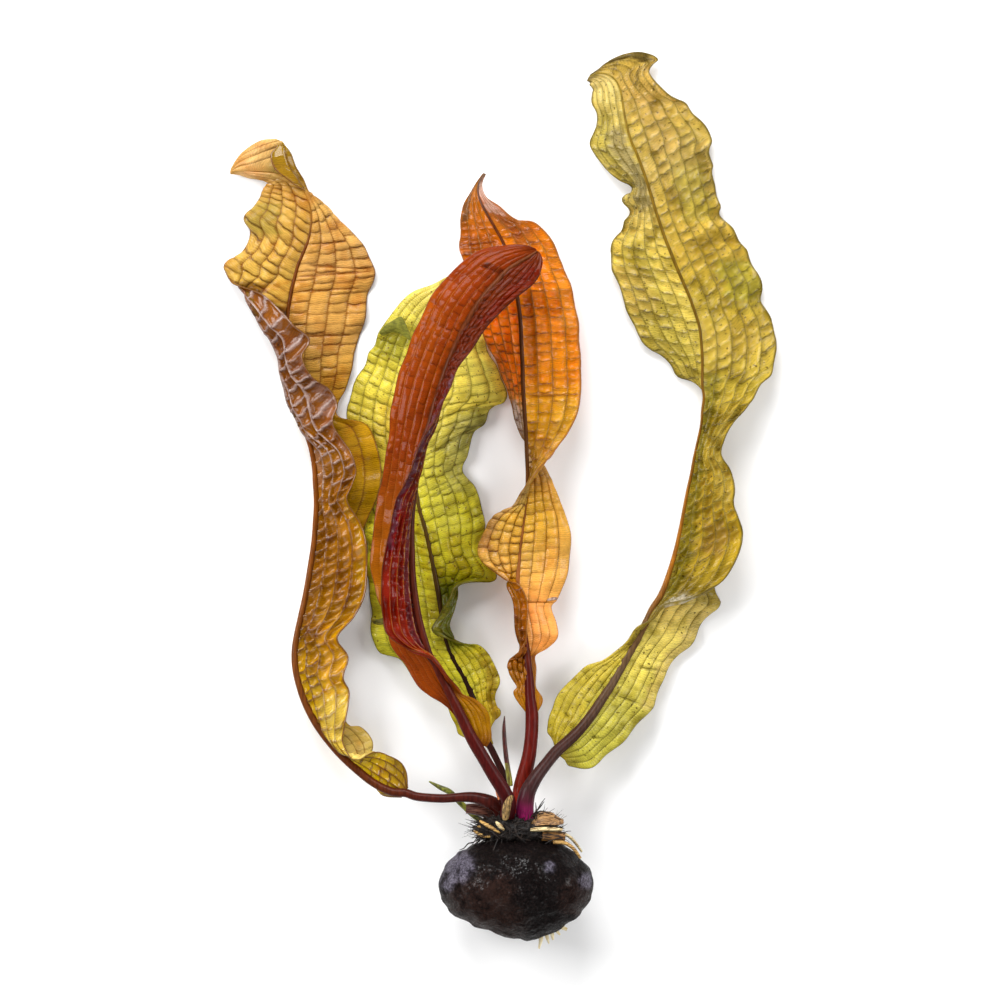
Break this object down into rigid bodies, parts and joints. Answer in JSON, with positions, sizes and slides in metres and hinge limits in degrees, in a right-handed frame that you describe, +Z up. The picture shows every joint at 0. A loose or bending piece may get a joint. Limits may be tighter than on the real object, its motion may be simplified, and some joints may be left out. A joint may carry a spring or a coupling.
{
  "type": "aponogeton plant",
  "caption": "Water plant with long wavy quilted leaves in green, amber and red on short dark stalks, growing from a dark round tuber with a fibrous crown and thin roots. It lies on its back.",
  "frame": {"origin": "centre of the small flat face on which the tuber rests, on the surface that the plant lies on", "axes": "+Y from the tuber towards the leaf tips, +Z up from the surface, away from it, +X to the right of a viewer who looks down with the leaf tips away"},
  "size_m": [0.138, 0.2245, 0.0352],
  "materials": {
    "tuber": "dark brown, wet, with fine pits and thin bark",
    "crown": "black, dry fibres",
    "leaf_left": "amber leaf, wet and partly see-through",
    "leaf_red": "red-brown leaf, wet and partly see-through",
    "leaf_green": "yellow-green leaf, wet and partly see-through",
    "leaf_orange": "golden orange leaf, wet and partly see-through",
    "leaf_right": "olive-yellow leaf, wet and partly see-through",
    "young_shoot": "dark maroon, wet",
    "young_leaf": "olive green, wet",
    "stalk_stub": "brown-maroon, wet",
    "orange_sheath": "orange, thin",
    "root_tube": "brown, dry",
    "root_pale": "cream, dry",
    "root_hanging_long": "straw-coloured, dry",
    "root_hanging_outer": "cream, dry",
    "root_straw_upper": "straw-coloured, dry",
    "root_straw_middle": "straw-coloured, dry",
    "root_straw_lower": "straw-coloured, dry",
    "root_stub": "cream, dry",
    "base_scale": "tan, papery, with dark fibres",
    "husk": "tan, papery"
  },
  "bodies": {
    "root": {"tuber": "tuber", "crown": "crown", "leaf_left": "leaf_left", "leaf_red": "leaf_red", "leaf_green": "leaf_green", "leaf_orange": "leaf_orange", "leaf_right": "leaf_right", "young_shoot": "young_shoot", "young_leaf": "young_leaf", "stalk_stub": "stalk_stub", "orange_sheath": "orange_sheath", "root_tube": "root_tube", "root_pale": "root_pale", "root_hanging_long": "root_hanging_long", "root_hanging_outer": "root_hanging_outer", "root_straw_upper": "root_straw_upper", "root_straw_middle": "root_straw_middle", "root_straw_lower": "root_straw_lower", "root_stub": "root_stub", "base_scale": "base_scale", "husk": "husk"}
  },
  "joints": []
}
